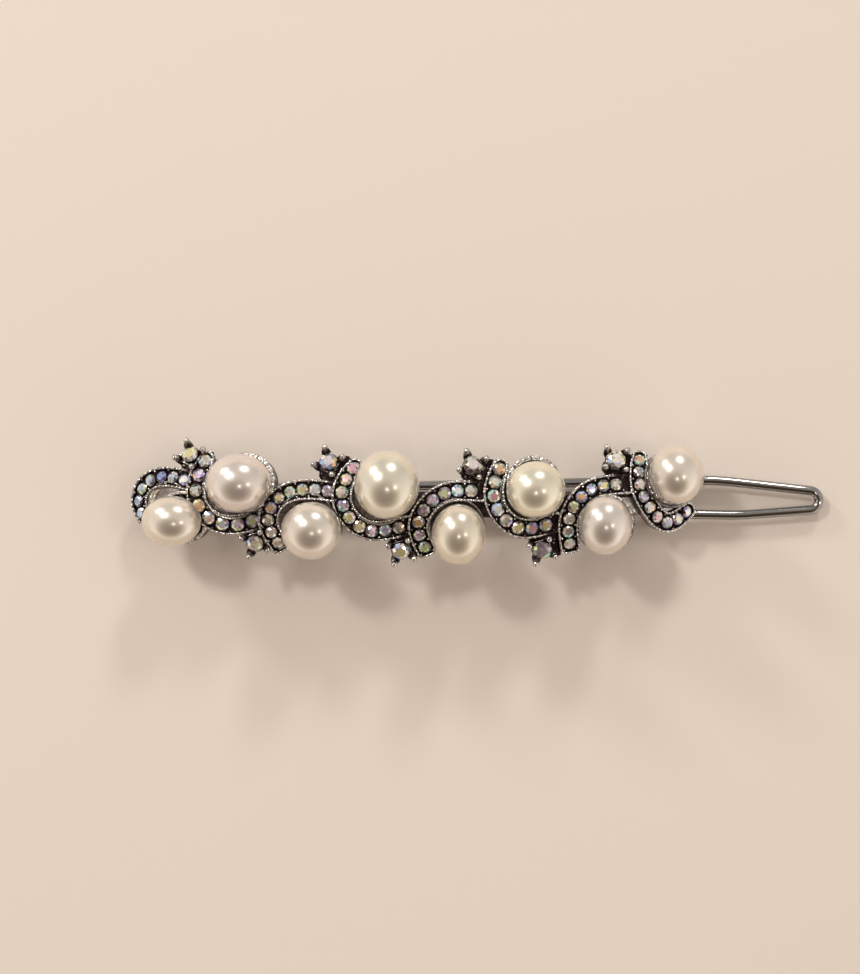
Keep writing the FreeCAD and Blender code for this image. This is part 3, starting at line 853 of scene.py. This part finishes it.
def wire_object(material):
    """The hairpin loop of round wire, with its two ends hooked outward."""
    outline = [
        (HINGE_X, BACK_Y + WIRE_END), (HINGE_X, BACK_Y + LEG_HALF_AT_HINGE),
        (30.0, 2.45), (LOOP_END_X, 1.02), (LOOP_END_X, -1.22), (33.0, -1.95),
        (HINGE_X, BACK_Y - LEG_HALF_AT_HINGE), (HINGE_X, BACK_Y - WIRE_END),
    ]
    radii = [BEND_RADIUS, LEG_BEND_RADIUS, LOOP_END_RADIUS, LOOP_END_RADIUS,
             LEG_BEND_RADIUS, BEND_RADIUS]
    path = np.array(rounded_path([Vector((x, y, WIRE_Z)) for x, y in outline], radii))
    tangent = unit(np.gradient(path, axis=0))
    side = np.stack([tangent[:, 1], -tangent[:, 0], np.zeros(len(path))], axis=1)
    angle = np.linspace(0, 2 * math.pi, 28, endpoint=False)
    rounded_tip = [(0.0, 0.0), (0.7, 0.0), (0.93, 0.07), (1.0, 0.2)]
    rows = []
    for scale, inset in rounded_tip:
        rows.append((path[0] + tangent[0] * inset * WIRE_RADIUS, side[0], scale))
    for i in range(1, len(path) - 1):
        rows.append((path[i], side[i], 1.0))
    for scale, inset in reversed(rounded_tip):
        rows.append((path[-1] - tangent[-1] * inset * WIRE_RADIUS, side[-1], scale))
    points = []
    for centre, across, scale in rows:
        radius = WIRE_RADIUS * scale * 0.997
        points.append(centre + np.outer(np.cos(angle) * radius, across)
                      + np.outer(np.sin(angle) * radius, [0, 0, 1.0]))
    columns = len(angle)
    faces = []
    for r in range(len(points) - 1):
        for c in range(columns):
            c2 = (c + 1) % columns
            faces.append((r * columns + c, r * columns + c2, (r + 1) * columns + c2, (r + 1) * columns + c))
    obj = make_object("clasp_wire", np.concatenate(points), faces, "clasp_loop",
                      [material])
    outward_consistent(obj.data)
    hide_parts("wire_loop")
    return obj


# ---------------------------------------------------------------- materials

class Nodes:
    """Short names for building a node material."""

    def __init__(self, name):
        self.material = bpy.data.materials.new(name)
        self.material.use_nodes = True
        self.tree = self.material.node_tree
        self.shader = self.tree.nodes["Principled BSDF"]

    def node(self, kind, **values):
        node = self.tree.nodes.new(kind)
        for key, value in values.items():
            if hasattr(node, key):
                setattr(node, key, value)
            else:
                node.inputs[key.replace("_", " ")].default_value = value
        return node

    def link(self, source, target):
        self.tree.links.new(source, target)

    def set(self, **values):
        for key, value in values.items():
            self.shader.inputs[key.replace("_", " ")].default_value = value

    def ramp(self, source, stops):
        node = self.node("ShaderNodeValToRGB")
        elements = node.color_ramp.elements
        while len(elements) < len(stops):
            elements.new(0.5)
        for element, (position, colour) in zip(elements, stops):
            element.position = position
            element.color = (*colour, 1.0)
        self.link(source, node.inputs["Fac"])
        return node.outputs["Color"]

    def noise(self, scale, detail=3.0, roughness=0.5):
        coordinates = self.node("ShaderNodeTexCoord")
        texture = self.node("ShaderNodeTexNoise")
        texture.inputs["Scale"].default_value = scale
        texture.inputs["Detail"].default_value = detail
        texture.inputs["Roughness"].default_value = roughness
        self.link(coordinates.outputs["Object"], texture.inputs["Vector"])
        return texture.outputs["Fac"]

    def math(self, operation, a, b):
        node = self.node("ShaderNodeMath", operation=operation)
        for socket, value in zip(node.inputs, (a, b)):
            if isinstance(value, (int, float)):
                socket.default_value = value
            else:
                self.link(value, socket)
        return node.outputs[0]

    def bump(self, height, strength, distance):
        node = self.node("ShaderNodeBump")
        node.inputs["Strength"].default_value = strength
        node.inputs["Distance"].default_value = distance
        self.link(height, node.inputs["Height"])
        self.link(node.outputs["Normal"], self.shader.inputs["Normal"])


def oxidised_silver():
    """Bright on the rims and beads, brown-black in the recesses, uneven between."""
    n = Nodes("oxidised silver")
    attribute = n.node("ShaderNodeAttribute", attribute_name="polish")
    cloud = n.math("SUBTRACT", n.noise(1400.0, 4.0, 0.6), 0.5)
    worn = n.math("ADD", attribute.outputs["Fac"], n.math("MULTIPLY", cloud, 0.7))
    colour = n.ramp(worn, [(0.0, (0.022, 0.013, 0.014)), (0.25, (0.060, 0.042, 0.040)),
                           (0.55, (0.25, 0.22, 0.21)), (0.95, (0.74, 0.71, 0.68))])
    n.link(colour, n.shader.inputs["Base Color"])
    rough = n.ramp(worn, [(0.0, (0.55,) * 3), (0.5, (0.34,) * 3), (0.9, (0.16,) * 3)])
    n.link(rough, n.shader.inputs["Roughness"])
    n.set(Metallic=1.0)
    n.bump(n.noise(2600.0, 3.0, 0.6), 0.6, 0.00008)
    return n.material


def pearl_material(number, tint):
    """Nacre: a soft metallic body under a clear gloss, with a painted sheen that makes it paler and cooler
    at the edge.
    """
    n = Nodes("pearl %d" % number)
    # Painted sheen: towards the rim, as the camera sees it, the colour turns paler and cooler, standing in
    # for reflected light; the mottle is the nacre's own uneven tone.
    facing = n.node("ShaderNodeLayerWeight")
    facing.inputs["Blend"].default_value = 0.35
    mottle = n.noise(160.0 + 9 * number, 2.0, 0.5)
    painted_sheen_and_mottle = n.math("ADD", n.math("MULTIPLY", facing.outputs["Facing"], 0.75),
                 n.math("MULTIPLY", mottle, 0.25))
    # pale and edge are the painted sheen's colours towards the rim.
    pale = tuple(min(1.0, c * 1.12 + 0.03) for c in tint)
    edge = (tint[0] * 1.22, tint[1] * 1.23, tint[2] * 1.30)
    colour = n.ramp(painted_sheen_and_mottle, [(0.05, tint), (0.45, pale), (0.95, edge)])
    n.link(colour, n.shader.inputs["Base Color"])
    n.set(Metallic=0.66, Roughness=0.27, Coat_Weight=0.6, Coat_Roughness=0.09,
          Coat_IOR=1.5)
    n.bump(n.noise(900.0, 3.0, 0.5), 0.03, 0.00002)
    return n.material


def coated_crystal():
    """Foil-backed glass with a rainbow film; each facet has its own colour, the stone's tint with painted
    glints, highlights and shade.
    """
    n = Nodes("coated crystal")
    attribute = n.node("ShaderNodeAttribute", attribute_name="tint_and_painted_light")
    n.link(attribute.outputs["Color"], n.shader.inputs["Base Color"])
    n.set(Metallic=0.5, Roughness=0.14, Coat_Weight=0.7, Coat_Roughness=0.03, Coat_IOR=1.6)
    n.shader.inputs["Thin Film Thickness"].default_value = 420.0
    n.shader.inputs["Thin Film IOR"].default_value = 1.8
    return n.material


def brushed_metal(name, stretch, detail, colours, roughness, depth):
    """Plated metal with fine lines along the barrette, between two colours and roughnesses."""
    n = Nodes(name)
    coordinates = n.node("ShaderNodeTexCoord")
    mapping = n.node("ShaderNodeMapping")
    mapping.inputs["Scale"].default_value = stretch
    n.link(coordinates.outputs["Object"], mapping.inputs["Vector"])
    texture = n.node("ShaderNodeTexNoise")
    texture.inputs["Scale"].default_value = 1.0
    texture.inputs["Detail"].default_value = detail
    n.link(mapping.outputs["Vector"], texture.inputs["Vector"])
    colour = n.ramp(texture.outputs["Fac"], [(0.3, colours[0]), (0.7, colours[1])])
    n.link(colour, n.shader.inputs["Base Color"])
    rough = n.ramp(texture.outputs["Fac"], [(0.3, (roughness[0],) * 3), (0.7, (roughness[1],) * 3)])
    n.link(rough, n.shader.inputs["Roughness"])
    n.set(Metallic=1.0)
    n.bump(texture.outputs["Fac"], depth, 0.00002)
    return n.material


def plated_wire():
    """Bright nickel plate with faint drawing lines."""
    return brushed_metal("plated wire", (60.0, 2600.0, 2600.0), 3.0,
                         [(0.29, 0.285, 0.28), (0.40, 0.395, 0.39)], (0.11, 0.06), 0.15)


def steel_strip():
    """Satin plated steel of the bar and brackets."""
    return brushed_metal("steel strip", (90.0, 2400.0, 2400.0), 4.0,
                         [(0.46, 0.45, 0.44), (0.62, 0.61, 0.60)], (0.36, 0.24), 0.2)


def floor_material():
    n = Nodes("pale floor")
    n.set(Base_Color=(0.83, 0.735, 0.655, 1.0), Roughness=0.6)
    return n.material


# ---------------------------------------------------------------- scene

def build_object():
    silver = oxidised_silver()
    crystal = coated_crystal()
    for number, (pearl, cup, stones, points) in enumerate(UNITS, 1):
        shell_object("crescent_%d" % number, crescent_shell(number, stones, points), silver,
                     ["cast_setting"])
        shell_object("cup_%d" % number, cup_shell(number, cup), silver, ["cast_setting"])
        shell_object("cup_floor_%d" % number, floor_shell(number, points, cup), silver,
                     ["cast_setting"])
        crescent_stones(number, stones, points, crystal)
        pearl_object(number, pearl, pearl_material(number, PEARL_TINTS[number - 1]))
    for number, claw in enumerate(CLAWS, 1):
        shell_object("claws_%d" % number, claw_shell(number, claw), silver, ["cast_setting"])
        shell_object("web_%d" % number, web_shell(number, claw), silver, ["cast_setting"])
        claw_stone(number, claw, crystal)
    shell_object("base_strip", strip_shell(), silver, ["cast_setting"])
    wire_object(plated_wire())
    steel = steel_strip()
    for name in ("back_bar", "rivets", "hinge_bracket", "catch_bracket"):
        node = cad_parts[name]
        node.data.materials.clear()
        node.data.materials.append(steel)
        bevel = node.modifiers.new("soft edges", "BEVEL")
        bevel.width = 0.00008
        bevel.segments = 2
        bevel.limit_method = "ANGLE"
        bevel.angle_limit = math.radians(40)


def build_floor():
    bpy.ops.mesh.primitive_plane_add(size=3.0, location=(0, 0, 0))
    floor = bpy.context.active_object
    floor.name = "floor"
    floor.data.materials.append(floor_material())


def build_camera():
    """Straight down on the deck, about 30 cm above it."""
    camera = bpy.data.cameras.new("camera")
    camera.sensor_fit = "HORIZONTAL"
    camera.sensor_width = 36.0
    camera.lens = 102.5
    camera.clip_start = 0.01
    obj = bpy.data.objects.new("camera", camera)
    obj.location = (-6.04 * MM, (1.59 + CENTRE_Y) * MM, 309.5 * MM)
    bpy.context.scene.collection.objects.link(obj)
    bpy.context.scene.camera = obj


def lamp(name, direction, distance, size, power, colour=(1.0, 0.97, 0.92)):
    light = bpy.data.lights.new(name, "AREA")
    light.shape = "DISK"
    light.size = size
    light.energy = power
    light.color = colour
    obj = bpy.data.objects.new(name, light)
    towards = Vector(direction).normalized()
    obj.location = towards * distance
    obj.rotation_euler = towards.to_track_quat("Z", "Y").to_euler()
    bpy.context.scene.collection.objects.link(obj)


def build_lights():
    lamp("lamp over the top", (0.22, 0.84, 0.48), 1.0, 0.16, 2.4)
    lamp("lamp at the left", (-0.62, 0.62, 0.35), 1.0, 0.16, 2.0)
    lamp("lamp high left", (-0.48, 0.45, 0.74), 1.0, 0.14, 2.4)
    lamp("lamp high right", (0.47, -0.08, 0.87), 1.2, 0.07, 0.5)
    lamp("lamp behind", (0.02, -0.20, 0.97), 1.4, 0.07, 0.6)


def build_room():
    """A pale room, dark round one direction over the object and brighter towards -Y."""
    world = bpy.data.worlds.new("room")
    bpy.context.scene.world = world
    world.use_nodes = True
    tree = world.node_tree
    background = tree.nodes["Background"]
    coordinates = tree.nodes.new("ShaderNodeTexCoord")
    dark_side = tree.nodes.new("ShaderNodeVectorMath")
    dark_side.operation = "DOT_PRODUCT"
    dark_side.inputs[1].default_value = Vector((-0.10, -0.55, 0.80)).normalized()
    ramp = tree.nodes.new("ShaderNodeValToRGB")
    stops = ramp.color_ramp.elements
    stops.new(0.5)
    stops.new(0.8)
    for stop, (position, colour) in zip(stops, [
            (0.0, (0.98, 0.94, 0.90)), (0.55, (0.85, 0.78, 0.71)),
            (0.80, (0.24, 0.18, 0.133)), (0.96, (0.06, 0.037, 0.023))]):
        stop.position = position
        stop.color = (*colour, 1)
    tree.links.new(coordinates.outputs["Generated"], dark_side.inputs[0])
    tree.links.new(dark_side.outputs["Value"], ramp.inputs["Fac"])
    split = tree.nodes.new("ShaderNodeSeparateXYZ")
    tree.links.new(coordinates.outputs["Generated"], split.inputs["Vector"])
    backdrop = tree.nodes.new("ShaderNodeMapRange")
    backdrop.inputs["From Min"].default_value = -0.6
    backdrop.inputs["From Max"].default_value = 0.7
    backdrop.inputs["To Min"].default_value = 1.6
    backdrop.inputs["To Max"].default_value = 0.50
    tree.links.new(split.outputs["Y"], backdrop.inputs["Value"])
    shade = tree.nodes.new("ShaderNodeVectorMath")
    shade.operation = "SCALE"
    tree.links.new(ramp.outputs["Color"], shade.inputs[0])
    tree.links.new(backdrop.outputs["Result"], shade.inputs["Scale"])
    tree.links.new(shade.outputs["Vector"], background.inputs["Color"])
    background.inputs["Strength"].default_value = 1.0


build_object()
build_floor()
build_camera()
build_lights()
build_room()
bpy.context.scene.view_settings.view_transform = "Standard"
